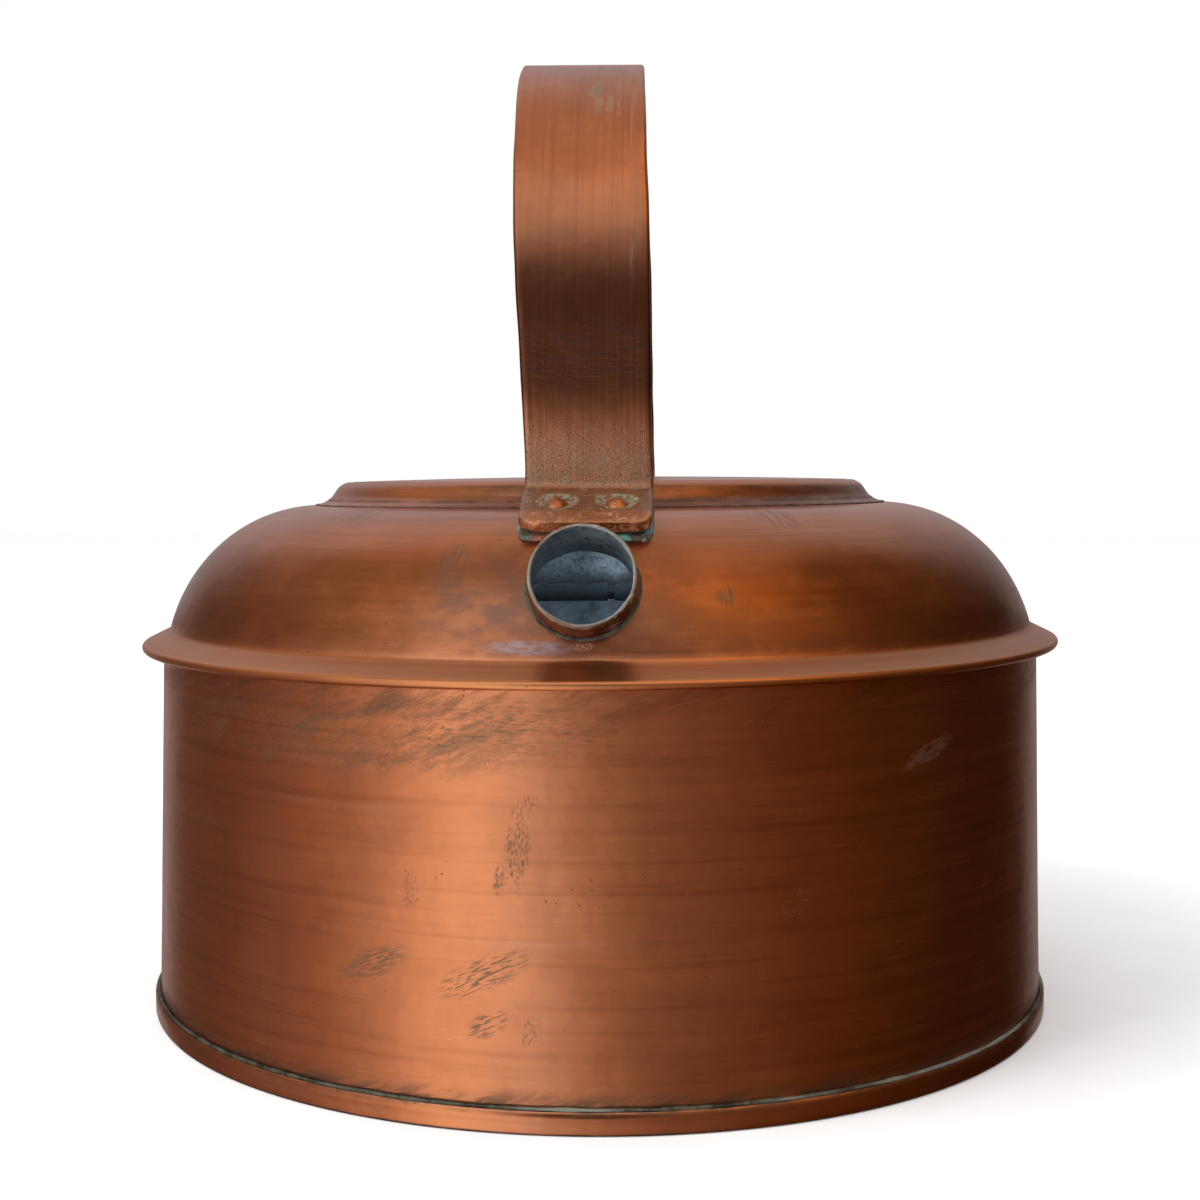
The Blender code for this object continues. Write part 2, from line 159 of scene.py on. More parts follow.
def skin(bm, rows, close_rows, close_columns, slot=0):
    """Quads between rows of vertices."""
    last_row = len(rows) if close_rows else len(rows) - 1
    for j in range(last_row):
        here, there = rows[j], rows[(j + 1) % len(rows)]
        last = len(here) if close_columns else len(here) - 1
        for i in range(last):
            k = (i + 1) % len(here)
            bm.faces.new((here[i], here[k], there[k], there[i])).material_index = slot


def shell(bm, outer, inner, closed, inner_slot=1):
    """A sheet between two grids of vertices; closed means that its columns go all the way round."""
    skin(bm, outer, False, closed)
    skin(bm, inner, False, closed, inner_slot)
    for j in (0, -1):
        skin(bm, [outer[j], inner[j]], False, closed)
    if not closed:
        for i in (0, -1):
            skin(bm, [[row[i] for row in outer], [row[i] for row in inner]], False, False)


def turned_point(angle, radius, z):
    return Vector((radius * sin(angle), -radius * cos(angle), z))


def lean(piece):
    """Tips a piece with the shoulder, which doesn't sit quite level on the wall."""
    for vertex in piece.data.vertices:
        vertex.co.z += LEAN * vertex.co.x
    return piece


def no_shift(angle, radius, z):
    return 0.0


def turned_solid(name, outline, materials, steps=240, shift=no_shift, place=Matrix(), slots=None, sharp=40):
    """An outline that starts and ends on the axis, or a ring's closed outline, turned about Z.

    shift(angle, radius, z) moves each point away from the axis; slots gives each band's material.
    """
    ring = min(radius for radius, _ in outline) > 1e-6
    bm = bmesh.new()
    rows = []
    for radius, z in outline:
        if radius < 1e-6:
            rows.append([bm.verts.new(place @ Vector((0, 0, z)))])
            continue
        angles = [2 * pi * i / steps for i in range(steps)]
        points = [turned_point(a, radius + shift(a, radius, z), z) for a in angles]
        rows.append([bm.verts.new(place @ point) for point in points])
    count = len(rows) if ring else len(rows) - 1
    for j in range(count):
        here, there = rows[j], rows[(j + 1) % len(rows)]
        slot = slots[j] if slots else 0
        for i in range(steps):
            k = (i + 1) % steps
            corners = [here[0]] if len(here) == 1 else [here[i], here[k]]
            corners += [there[0]] if len(there) == 1 else [there[k], there[i]]
            bm.faces.new(corners).material_index = slot
    return finish_mesh(name, bm, materials, sharp)


def turned_sheet(name, outline, thickness, materials, steps=360, shift=no_shift, span=None):
    """A sheet that follows an outline of (radius, z) points down its outer side.

    The second material is on its inner side. A span of angles leaves it open there.
    """
    bm = bmesh.new()
    outer, inner = [], []
    full = span is None
    start, end = (0, 2 * pi) if full else span
    count = steps if full else steps + 1
    for j, (radius, z) in enumerate(outline):
        before, after = outline[max(j - 1, 0)], outline[min(j + 1, len(outline) - 1)]
        dr, dz = after[0] - before[0], after[1] - before[1]
        length = hypot(dr, dz)
        normal_r, normal_z = -dz / length, dr / length
        out_row, in_row = [], []
        for i in range(count):
            angle = start + (end - start) * i / steps
            lift = shift(angle, radius, z)
            for row, depth in ((out_row, lift), (in_row, lift - thickness)):
                row.append(bm.verts.new(turned_point(angle, radius + normal_r * depth, z + normal_z * depth)))
        outer.append(out_row)
        inner.append(in_row)
    shell(bm, outer, inner, full)
    return finish_mesh(name, bm, materials)


def uneven(angle, size, change, grain, seed):
    """A size in millimetres, unevenly changed round a ring by up to this change, as metres."""
    return (size + change * wobble(sin(angle), cos(angle), 0, grain, seed)) * MM


def bead_ring(name, radius, z, half_width, half_height, material, steps=360, sides=8):
    """A ring of solder; z and the half sizes each hold the arguments of uneven() after the angle."""
    bm = bmesh.new()
    rows = []
    for i in range(steps):
        angle = 2 * pi * i / steps
        middle, wide, high = (uneven(angle, *size) for size in (z, half_width, half_height))
        turns = [2 * pi * j / sides for j in range(sides)]
        points = [turned_point(angle, radius + wide * cos(t), middle + high * sin(t)) for t in turns]
        rows.append([bm.verts.new(point) for point in points])
    skin(bm, rows, True, True)
    return finish_mesh(name, bm, [material])


def show(piece, node, body="kettle"):
    """The piece stands for one CAD node, which it hides, and moves with its body."""
    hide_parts(node)
    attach(piece, body)
    return piece


# ---------------- node helpers
class Field:
    """A value that nodes work out at each place. Sums and products of fields are fields."""

    def __init__(self, nodes, socket):
        self.nodes, self.socket = nodes, socket

    def __add__(self, other):
        return self.nodes.math("ADD", self, other)

    def __sub__(self, other):
        return self.nodes.math("SUBTRACT", self, other)

    def __mul__(self, other):
        return self.nodes.math("MULTIPLY", self, other)

    def span(self, low, high, to_low=0.0, to_high=1.0):
        """From low..high to to_low..to_high, smoothly and clamped."""
        values = (self, low, high, to_low, to_high)
        return self.nodes.made("MapRange", values, interpolation_type="SMOOTHSTEP")


class Nodes:
    """A node tree, with one short call for each kind of node."""

    def __init__(self, tree):
        self.tree = tree

    def new(self, kind, **settings):
        node = self.tree.nodes.new("ShaderNode" + kind)
        for key, value in settings.items():
            setattr(node, key, value)
        return node

    def feed(self, socket, value):
        if isinstance(value, Field):
            self.tree.links.new(value.socket, socket)
        else:
            socket.default_value = value

    def made(self, kind, values, **settings):
        """The first output of a new node that has these inputs."""
        node = self.new(kind, **settings)
        for socket, value in zip(node.inputs, values):
            self.feed(socket, value)
        return Field(self, node.outputs[0])

    def math(self, operation, *values):
        return self.made("Math", values, operation=operation)

    def vector(self, *values):
        return self.made("CombineXYZ", values)

    def split(self, vector):
        node = self.new("SeparateXYZ")
        self.feed(node.inputs[0], vector)
        return [Field(self, socket) for socket in node.outputs]

    def mix(self, factor, first, second, mode="MIX"):
        """A mix of two colours."""
        node = self.new("Mix", data_type="RGBA", blend_type=mode)
        for index, value in ((0, factor), (6, first), (7, second)):
            self.feed(node.inputs[index], (*value, 1) if isinstance(value, tuple) else value)
        return Field(self, node.outputs[2])

    def blend(self, factor, first, second):
        """A mix of two numbers."""
        node = self.new("Mix", data_type="FLOAT")
        for socket, value in zip(node.inputs[0:1] + node.inputs[2:4], (factor, first, second)):
            self.feed(socket, value)
        return Field(self, node.outputs[0])


class Finish(Nodes):
    """A material whose colour, roughness and relief are laid on in layers."""

    def __init__(self, name):
        self.material = bpy.data.materials.new(name)
        self.material.use_nodes = True
        super().__init__(self.material.node_tree)
        self.shader = self.tree.nodes["Principled BSDF"]
        self.place = Field(self, self.new("TexCoord").outputs["Object"])
        self.metal = 1.0

    def set(self, name, value):
        self.feed(self.shader.inputs[name], value)

    def noise(self, scale, detail=3.0, roughness=0.55, where=None, distortion=0.0):
        node = self.new("TexNoise")
        self.feed(node.inputs["Vector"], where or self.place)
        for name, value in (("Scale", scale), ("Detail", detail), ("Roughness", roughness)):
            node.inputs[name].default_value = value
        node.inputs["Distortion"].default_value = distortion
        return Field(self, node.outputs[0])

    def turned_noise(self, around, up, height, detail=5, roughness=0.65):
        """Noise on a turned surface: around and up say how fine it is; it closes at the back."""
        where = self.vector(self.turn_x * around, self.turn_y * around, height * up)
        return self.noise(1.0, detail, roughness, where)

    def cells(self, scale):
        node = self.new("TexVoronoi")
        self.feed(node.inputs["Vector"], self.place)
        node.inputs["Scale"].default_value = scale
        return Field(self, node.outputs["Distance"])

    def spot(self, u, v, centre, reach, soft=0.6):
        """1 inside an ellipse of the two coordinates, falling to 0 at its edge."""
        away_u = (u - centre[0]) * (1 / reach[0])
        away_v = (v - centre[1]) * (1 / reach[1])
        return (away_u * away_u + away_v * away_v).span(1.0, 1.0 - soft)

    def strokes(self, height, centre, reach, fineness, low, high):
        """A patch of short strokes, where stretched noise passes a level."""
        marks = self.turned_noise(*fineness, height, 3, 0.6)
        return self.spot(self.angle, height, centre, reach, 0.9) * marks.span(low, high)

    def bump(self, height, distance):
        """Adds this relief, of this depth in metres, to what the surface already has."""
        node = self.new("Bump")
        node.inputs["Strength"].default_value = 1.0
        node.inputs["Distance"].default_value = distance
        self.feed(node.inputs["Height"], height)
        before = self.shader.inputs["Normal"].links
        if before:
            self.tree.links.new(before[0].from_socket, node.inputs["Normal"])
        self.tree.links.new(node.outputs[0], self.shader.inputs["Normal"])

    def stain(self, where, colour, rough=None, metal=1.0):
        """Lays a stain, this rough and this metallic, over the finish where the mask is 1."""
        self.colour = self.mix(where, self.colour, colour)
        if rough is not None:
            self.rough = self.blend(where, self.rough, rough)
        if metal < 1:
            self.metal = where.span(0.0, 1.0, 1.0, metal) * self.metal
            self.set("Metallic", self.metal)

    def close(self):
        self.set("Base Color", self.colour)
        self.set("Roughness", self.rough)
        return self.material


COPPER = (0.70, 0.256, 0.110)
BRIGHT = (0.86, 0.44, 0.26)
OXIDE = (0.31, 0.105, 0.050)
DEEP = (0.105, 0.050, 0.034)
GREEN_GREY = (0.130, 0.108, 0.072)
TEAL = (0.100, 0.270, 0.225)
PALE_GREEN = (0.42, 0.46, 0.36)
INSIDE_SHADE = (0.016, 0.022, 0.027)


def copper(name, roughness=0.30, brushed="around", tarnish=0.5, bump=1.0):
    """Aged copper: brushing, cloudy oxide, fine scratches and pits, with the fields its stains need."""
    f = Finish(name)
    f.x, f.y, f.z = x, y, z = f.split(f.place)
    f.radius = f.math("SQRT", x * x + y * y)
    # The angle round the body, from the spout's side towards +X.
    f.angle = f.math("ARCTAN2", x, y * -1.0)
    inverse = f.math("DIVIDE", 1.0, f.math("MAXIMUM", f.radius, 0.002))
    f.turn_x, f.turn_y = x * inverse, y * inverse
    if brushed == "around":
        across = f.radius - z
        grain = f.vector(f.turn_x * 1.6, f.turn_y * 1.6, across * 420)
        coarse = f.vector(f.turn_x * 1.1, f.turn_y * 1.1, across * 130)
    else:
        along = z + f.math("ABSOLUTE", y) * 0.6
        grain = f.vector(x * 900, along * 14, y * 10)
        coarse = f.vector(x * 220, along * 9, y * 7)
    fine_lines = f.noise(1.0, 4, 0.65, grain)
    wide_lines = f.noise(1.0, 3, 0.6, coarse)
    clouds = f.noise(26, 5, 0.62, distortion=0.4)
    mottle = f.noise(120, 5, 0.7)
    old = clouds * 0.60 + (wide_lines * 0.22 + mottle * 0.18)
    f.colour = f.mix(old.span(0.40, 0.62) * tarnish, COPPER, OXIDE)
    f.stain(wide_lines.span(0.55, 0.78, 0.0, 0.35), BRIGHT)
    f.stain(fine_lines.span(0.30, 0.55, 0.30, 0.0), OXIDE)
    pits = f.cells(520).span(0.06, 0.11, 1.0, 0.0) * f.noise(60, 2).span(0.54, 0.66)
    f.stain(pits * 0.75, DEEP)
    f.rough = fine_lines * 0.16 + f.noise(45, 4) * 0.14 + (roughness - 0.15)
    f.set("Metallic", 1.0)
    f.bump(fine_lines, 0.00004 * bump)
    f.bump(wide_lines, 0.00004 * bump)
    f.bump(pits * -1.0, 0.00012)
    f.bump(f.noise(55, 3), 0.00025 * bump)
    return f


# ---------------- materials
def wall_finish():
    f = copper("aged_copper_wall", roughness=0.25, tarnish=0.30)
    a, z = f.angle, f.z
    slope = 0.05
    rising = z + f.turn_x * -slope
    smear = f.turned_noise(6, 230, rising, 6, 0.72)
    blots = f.turned_noise(30, 800, rising, 6, 0.78)
    under_edge = z.span(0.086, 0.0965) * smear.span(0.44, 0.60, 0.0, 0.75)
    f.stain(under_edge * 0.6, OXIDE, 0.40)
    top_left = f.spot(a, z, (-0.50, 0.0895), (0.56, 0.0150), 0.9)
    patina = top_left * (smear * 0.5 + blots * 0.5).span(0.40, 0.66)
    f.stain(patina * 0.80, GREEN_GREY, 0.42, metal=0.85)
    scored = f.turned_noise(26, 2400, z, 4, 0.7).span(0.52, 0.64, 0.0, 0.7)
    f.stain(f.spot(a, z, (-0.13, 0.0905), (0.26, 0.0085), 0.9) * scored, GREEN_GREY)
    # Worn marks: the angle and height of each, its reach, how fine its strokes are and how sparse.
    long, short = (45, 2100), (300, 1000)
    for angle, height, reach, fineness, level in (
        (-0.117, 0.0628, (0.030, 0.0095), short, 0.47),
        (-0.150, 0.0570, (0.016, 0.0040), short, 0.46),
        (-0.100, 0.0735, (0.034, 0.0030), short, 0.50),
        (-0.320, 0.0534, (0.020, 0.0055), short, 0.50),
        (-0.401, 0.0356, (0.090, 0.0042), long, 0.42),
        (-0.181, 0.0354, (0.105, 0.0050), long, 0.47),
        (-0.172, 0.0241, (0.050, 0.0036), long, 0.46),
        (-0.092, 0.0228, (0.022, 0.0042), short, 0.50),
        (0.716, 0.0816, (0.085, 0.0030), long, 0.40),
        (0.398, 0.0499, (0.055, 0.0040), long, 0.54),
        (2.30, 0.0600, (0.200, 0.0100), long, 0.50),
        (-2.00, 0.0450, (0.150, 0.0120), long, 0.51),
        (2.90, 0.0300, (0.150, 0.0080), long, 0.52),
    ):
        centre = (angle, height - slope * sin(angle))
        mark = f.strokes(rising, centre, reach, fineness, level, level + 0.13)
        f.stain(mark * 0.75, GREEN_GREY, 0.45, metal=0.85)
    nicks = f.turned_noise(90, 950, rising, 2, 0.5)
    f.stain(nicks.span(0.735, 0.775, 0.0, 0.7), BRIGHT, 0.25)
    f.stain(z.span(0.0115, 0.0062) * smear.span(0.42, 0.60, 0.15, 0.8), (0.16, 0.10, 0.065), 0.5)
    f.bump(patina, -0.00005)
    return f.close()


def dome_finish():
    f = copper("aged_copper_dome", roughness=0.23, tarnish=0.28)
    a, z, r = f.angle, f.z, f.radius
    smoke_and_shade = f.turned_noise(9, 150, z)
    # Painted shade: the lower flank darkened to a deep orange all round, standing for a darker reflection.
    flank = z.span(0.134, 0.123) * z.span(0.1065, 0.1120)
    f.stain(flank * smoke_and_shade.span(0.30, 0.62, 0.45, 0.70), (0.28, 0.085, 0.028))
    around_spout = f.spot(a, z, (-0.01, 0.121), (0.30, 0.021), 1.0)
    f.stain(around_spout * smoke_and_shade.span(0.36, 0.62, 0.25, 0.9), (0.27, 0.115, 0.060), 0.36)
    left_smudge = f.spot(a, z, (-0.22, 0.118), (0.17, 0.013), 1.0)
    f.stain(left_smudge * smoke_and_shade.span(0.44, 0.60, 0.1, 0.7), (0.28, 0.14, 0.10), 0.42)
    for centre, reach, level in (
        ((-0.283, 0.1262), (0.050, 0.0062), 0.47),
        ((0.290, 0.1196), (0.034, 0.0026), 0.48),
        ((0.50, 0.1365), (0.100, 0.0028), 0.50),
        ((-0.70, 0.1370), (0.120, 0.0022), 0.51),
        ((1.10, 0.1200), (0.050, 0.0060), 0.53),
        ((2.60, 0.1250), (0.120, 0.0080), 0.50),
    ):
        mark = f.strokes(z, centre, reach, (260, 170), level, level + 0.10)
        f.stain(mark * 0.75, GREEN_GREY, 0.45, metal=0.85)
    # Darker low on the flank, just above the hollow, and a duller flange below it with a rubbed edge.
    low = z.span(0.1125, 0.1085) * z.span(0.1055, 0.1075)
    f.stain(low * smoke_and_shade.span(0.30, 0.62, 0.15, 0.60), OXIDE, 0.38)
    flange = r.span(0.1208, 0.1220)
    f.stain(flange * smoke_and_shade.span(0.30, 0.65, 0.75, 0.45), (0.62, 0.285, 0.130), 0.44)
    rubbed = f.turned_noise(45, 1600, z).span(0.38, 0.58, 0.15, 0.75)
    f.stain(f.spot(a, z, (-0.100, 0.1086), (0.105, 0.0021), 1.0) * rubbed, (0.52, 0.40, 0.39), 0.42)
    f.stain(f.strokes(z, (0.002, 0.1092), (0.024, 0.0015), (260, 1700), 0.44, 0.54), BRIGHT, 0.24)
    outer_edge = r.span(0.1268, 0.1280)
    f.stain(outer_edge * smoke_and_shade.span(0.35, 0.65, 0.80, 0.35), (0.80, 0.29, 0.10), 0.28)
    return f.close()


def pan_finish():
    f = copper("aged_copper_pan", roughness=0.22, tarnish=0.25)
    dirt_and_shade = f.turned_noise(16, 500, f.z)
    f.stain(f.z.span(0.0040, 0.0055) * dirt_and_shade.span(0.42, 0.60, 0.1, 0.75), (0.17, 0.12, 0.075), 0.5)
    f.stain(f.z.span(0.0010, 0.0002) * dirt_and_shade.span(0.35, 0.60, 0.35, 1.0), DEEP, 0.55)
    soot = f.z.span(0.0008, 0.0002) * f.noise(30, 5, 0.6).span(0.35, 0.65, 0.35, 0.95)
    f.stain(soot, (0.050, 0.040, 0.036), 0.75)
    return f.close()


def neck_finish():
    f = copper("aged_copper_neck", roughness=0.26, tarnish=0.40)
    dirt_and_shade = f.turned_noise(11, 420, f.z)
    # The collar's right side is the browner one, up to just below its rim.
    right = f.angle.span(-0.75, -0.20) * f.angle.span(2.70, 1.90) * f.z.span(0.1449, 0.1443)
    f.stain(right * dirt_and_shade.span(0.35, 0.65, 0.50, 0.80), (0.17, 0.085, 0.048), 0.34)
    level = f.z + f.x * -LEAN
    # Painted shadow: a dark line round the collar, just above its foot.
    collar_shadow_line = level.span(0.1400, 0.1405) * level.span(0.1412, 0.1407)
    f.stain(collar_shadow_line * dirt_and_shade.span(0.38, 0.60, 0.3, 0.8), (0.16, 0.085, 0.055), 0.45)
    return f.close()


def strap_finish():
    f = copper("brushed_copper_strap", roughness=0.30, brushed="along", tarnish=0.40, bump=1.6)
    x, z = f.x, f.z
    depth = f.math("ABSOLUTE", f.y)
    # Painted shade: a dark reflection painted on the middle of each leg.
    f.stain(z.span(0.220, 0.192) * z.span(0.154, 0.170) * 0.92, (0.13, 0.045, 0.022), 0.36)
    # Painted highlight: a pale reflection of the sky over the top of the arch.
    f.stain(z.span(0.247, 0.257) * 0.25, (0.46, 0.28, 0.20), 0.40)
    run = z + depth * 0.5
    streaks = f.noise(1.0, 5, 0.68, f.vector(x * 420, run * 34, 2.2))
    blots = f.noise(1.0, 5, 0.7, f.vector(x * 330, run * 300, 8.4))
    crest = f.spot(x, z, (0.0035, 0.246), (0.0090, 0.0120), 0.9)
    f.stain(crest * (streaks + blots).span(0.92, 1.12, 0.0, 0.85), GREEN_GREY, 0.6, metal=0.25)
    edge = f.spot(x, z, (0.0110, 0.222), (0.0032, 0.034), 0.9)
    f.stain(edge * streaks.span(0.46, 0.60, 0.0, 0.8), GREEN_GREY, 0.6, metal=0.25)
    rows = f.noise(1.0, 4, 0.65, f.vector(x * 120, z * 900, 1.7))
    band = z.span(0.165, 0.172) * z.span(0.188, 0.180)
    f.stain(band * rows.span(0.52, 0.60, 0.0, 0.85), DEEP, 0.5)
    # Pitting and verdigris low on the legs and round the rivets.
    low = z.span(0.166, 0.146)
    pits = f.noise(1500, 4, 0.7)
    f.stain(low * 0.45, (0.42, 0.31, 0.22), 0.45)
    f.stain(low * pits.span(0.48, 0.60, 0.0, 0.75), (0.30, 0.20, 0.14), 0.5)
    film = f.noise(420, 6, 0.75, distortion=0.5)
    f.stain(low * film.span(0.50, 0.66, 0.0, 0.75), (0.20, 0.21, 0.13), 0.6, metal=0.5)
    worn_end = depth.span(0.0993, 0.1010) * z.span(0.1480, 0.1460)
    f.stain(worn_end * f.noise(260, 4, 0.6).span(0.35, 0.55, 0.3, 0.9), (0.74, 0.34, 0.17), 0.28)
    rings = []
    for side in (-1, 1):
        away_x, away_y = x - side * RIVET_SPREAD, depth - RIVET_R
        distance = f.math("SQRT", away_x * away_x + away_y * away_y)
        rings.append(distance.span(0.0014, 0.0024) * distance.span(0.0062, 0.0040))
    rivets = f.math("MAXIMUM", *rings)
    f.stain(rivets * f.noise(700, 5, 0.7).span(0.42, 0.56, 0.0, 0.9), (0.17, 0.20, 0.14), 0.75, metal=0.25)
    f.stain(rivets * f.noise(520, 3, 0.6).span(0.60, 0.66, 0.0, 0.9), PALE_GREEN, 0.85, metal=0.25)
    f.bump(low * pits, 0.00018)
    f.bump(band * rows, 0.00015)
    return f.close()


def rivet_finish():
    f = copper("peened_copper", roughness=0.30, tarnish=0.45)
    f.stain(f.noise(900, 4, 0.7).span(0.55, 0.63, 0.0, 0.8), (0.20, 0.21, 0.14), 0.7, metal=0.25)
    f.bump(f.noise(600, 3), 0.00012)
    return f.close()


def spout_finish():
    f = copper("dark_oxidised_copper", roughness=0.42, tarnish=0.9)
    f.stain(0.55, (0.15, 0.085, 0.055))
    f.stain(f.noise(380, 5, 0.7).span(0.50, 0.62, 0.0, 0.6), (0.12, 0.11, 0.08), 0.6, metal=0.25)
    # How far the place is inside the mouth, along the tube.
    inward = (f.y - SPOUT_MOUTH.y) * cos(SPOUT_RISE) + (f.z - SPOUT_MOUTH.z) * -sin(SPOUT_RISE)
    lip = inward.span(0.0016, 0.0008) * f.noise(150, 3, 0.6).span(0.35, 0.60, 0.45, 1.0)
    f.stain(lip, (0.36, 0.29, 0.22), 0.28)
    return f.close()


def tin_finish():
    """Hot tinning: blue-grey, cloudy, with dark specks where it has worn."""
    f = Finish("hot_tin")
    clouds = f.noise(120, 5, 0.7)
    f.rough = clouds.span(0.3, 0.7, 0.42, 0.62)
    f.colour = f.mix(clouds.span(0.35, 0.65), (0.26, 0.31, 0.35), (0.52, 0.58, 0.62))
    f.stain(f.noise(640, 4, 0.75).span(0.50, 0.64) * 0.75, (0.06, 0.07, 0.08))
    # Painted shade: darker towards the left, and a dark band of painted shade under the shoulder.
    x, _, z = f.split(f.place)
    f.stain(x.span(-0.011, 0.005, 0.65, 0.0), (0.035, 0.042, 0.046))
    f.stain(z.span(0.070, 0.084) * z.span(0.1165, 0.1080, 0.0, 0.94), INSIDE_SHADE)
    f.set("Metallic", 0.85)
    f.bump(f.noise(500, 4, 0.7), 0.0002)
    return f.close()


def solder_finish(name, pale, dark=(0.050, 0.046, 0.034), light=(0.15, 0.145, 0.105)):
    """Old solder, with paler patches of this strength."""
    f = Finish(name)
    clouds = f.noise(260, 5, 0.7)
    f.rough = clouds.span(0.3, 0.7, 0.45, 0.7)
    f.colour = f.mix(clouds.span(0.38, 0.62), dark, light)
    f.stain(f.noise(26, 3, 0.6).span(0.50, 0.64, 0.0, pale), (0.36, 0.38, 0.33))
    f.set("Metallic", 0.7)
    f.bump(clouds, 0.0003)
    return f.close()


def verdigris_finish():
    f = Finish("verdigris")
    clouds = f.noise(240, 5, 0.7)
    f.rough = clouds.span(0.3, 0.7, 0.6, 0.9)
    f.colour = f.mix(clouds.span(0.44, 0.62), (0.070, 0.052, 0.036), TEAL)
    f.stain(f.noise(420, 4, 0.7).span(0.58, 0.68, 0.0, 0.6), PALE_GREEN)
    f.stain(f.noise(150, 3).span(0.60, 0.70), OXIDE)
    f.set("Metallic", 0.1)
    f.bump(clouds, 0.0005)
    return f.close()


def braze_finish():
    f = Finish("filed_brass")
    f.colour = f.mix(f.noise(150, 5, 0.65).span(0.35, 0.65), (0.62, 0.42, 0.18), (0.36, 0.22, 0.10))
    f.rough = f.noise(300, 3).span(0.3, 0.7, 0.32, 0.50)
    f.set("Metallic", 1.0)
    f.bump(f.noise(500, 4), 0.0001)
    return f.close()


# ---------------- pieces of the body
def body_wobble(angle, radius, z):
    """Faint unevenness of hand-made sheet, a tenth of a millimetre or so."""
    point = turned_point(angle, radius, z)
    slow = 0.10 * MM * wobble(*point, 0.045, 3.1)
    quick = 0.035 * MM * wobble(*point, 0.014, 8.7)
    return slow + quick


def make_pan(copper_skin, tin):
    inner = BASE_RADIUS - SHEET
    outline = [(0, SHEET)] + near(inner, SHEET, (-0.8, 0), (0, 0.6))
    outline += near(inner, RIM_TOP, (0, -0.1), (0.3, 0)) + near(BASE_RADIUS, RIM_TOP, (-0.4, 0), (0, -0.5))
    corner = 0.8 * MM
    outline += near(BASE_RADIUS, 0, (0, 3.4), (-0.05, 1.8))
    outline += arc(BASE_RADIUS - corner, corner, corner - 0.05 * MM, radians(-8), -pi / 2, 5)
    outline += [(BASE_RADIUS * 0.55, 0.05 * MM), (0, 0.05 * MM)]
    slots = [1] * 3 + [0] * (len(outline) - 4)

    def shift(angle, radius, z):
        if z < 1.0 * MM or radius < inner - MM:
            return 0.0
        point = turned_point(angle, radius, z)
        return -0.12 * MM * (0.5 + 0.5 * wobble(*point, 0.017, 2.2)) * min(1, z / (4 * MM))

    pan = turned_solid("base_pan_sheet", outline, [copper_skin, tin], 360, shift, slots=slots)
    return show(pan, "base_pan")


def make_base_seam(solder):
    height = (RIM_TOP / MM + 0.35, 0.12, 0.13, 6)
    seam = bead_ring("base_solder_line", BASE_RADIUS - SHEET + 0.10 * MM, height, (0.50, 0.15, 0.07, 1),
                     (0.45, 0.22, 0.05, 9), solder, 480)
    return show(seam, "base_solder_seam")


def wall_radius(z):
    return WALL_FOOT_RADIUS - WALL_TAPER * (z - WALL_FOOT)


def make_wall(copper_skin, tin, braze):
    # Inside, the wall's top is beaten over and runs up against the shoulder's flank.
    outline = near(WALL_LIP_R, WALL_TOP, (-1.0, 6.1), (-0.5, 3.9), (0, 2.5), (0.9, 1.1))
    outline += [(wall_radius(z), z) for _, z in line((0, WALL_TOP - 0.2 * MM), (0, WALL_FOOT), 56)]
    half_slit = 1.2 * MM / wall_radius(0.05)
    wall = turned_sheet("wall_sheet", outline, SHEET, [copper_skin, tin], 420, body_wobble,
                        span=(-pi + half_slit, pi - half_slit))
    show(wall, "body_wall")

    bm = bmesh.new()
    rows = []
    for radius, z in line((wall_radius(WALL_TOP), WALL_TOP), (wall_radius(WALL_FOOT), WALL_FOOT), 160):
        row = []
        edge = 0.00035 * wobble(0, 0, z, 0.006, 4)
        for x in (-1.0, -0.6, -0.2, 0.2, 0.6, 1.0):
            proud = 0.10 * MM * (1 - x * x) + 0.03 * MM * wobble(x, 0, z, 0.004, 5)
            row.append(bm.verts.new((x * 1.25 * MM + edge, radius + proud, z)))
        for x in (1.0, -1.0):
            row.append(bm.verts.new((x * 1.25 * MM + edge, radius - SHEET, z)))
        rows.append(row)
    skin(bm, rows, False, True)
    bm.faces.new(rows[0])
    bm.faces.new(rows[-1])
    for face in bm.faces:
        depths = [wall_radius(vertex.co.z) - hypot(vertex.co.x, vertex.co.y) for vertex in face.verts]
        if min(depths) > SHEET / 2:
            face.material_index = 1
    seam = finish_mesh("wall_seam_line", bm, [braze, tin])
    return show(seam, "wall_braze_seam")


def dome_outline():
    end_reach = sqrt(1 - ((FLANK_END_Z - CREST_Z) / DOME_HEIGHT) ** 2)
    last = atan2(sqrt(1 - end_reach * end_reach), end_reach)
    outline = line((MOUTH_RADIUS, CREST_Z + DOME_HEIGHT), (CREST_R - 0.5 * MM, CREST_Z + DOME_HEIGHT), 4)
    for i in range(41):
        turn = pi / 2 + (last - pi / 2) * i / 40
        outline.append((CREST_R + DOME_WIDTH * cos(turn), CREST_Z + DOME_HEIGHT * sin(turn)))
    # A tight hollow where the flank turns out, then the flange falls straight to its folded edge.
    out_r, out_z = cos(HEM_SLOPE), -sin(HEM_SLOPE)
    fold = arc(HEM_R, HEM_Z, HEM_RADIUS, pi / 2 - HEM_SLOPE, -pi / 2 - HEM_SLOPE, 16)
    start = Vector(outline[-1])
    toe = Vector(fold[0]) - Vector((out_r, out_z)) * CREASE_REACH
    bend = Vector(CREASE)
    for i in range(1, 7):
        t = i / 6
        outline.append(tuple(start.lerp(bend, t).lerp(bend.lerp(toe, t), t)))
    outline += line(tuple(toe), fold[0], 8)[1:-1] + fold
    under = Vector(fold[-1]) - Vector((out_r, out_z)) * HEM_LENGTH
    return outline + line(fold[-1], tuple(under), 4)[1:]


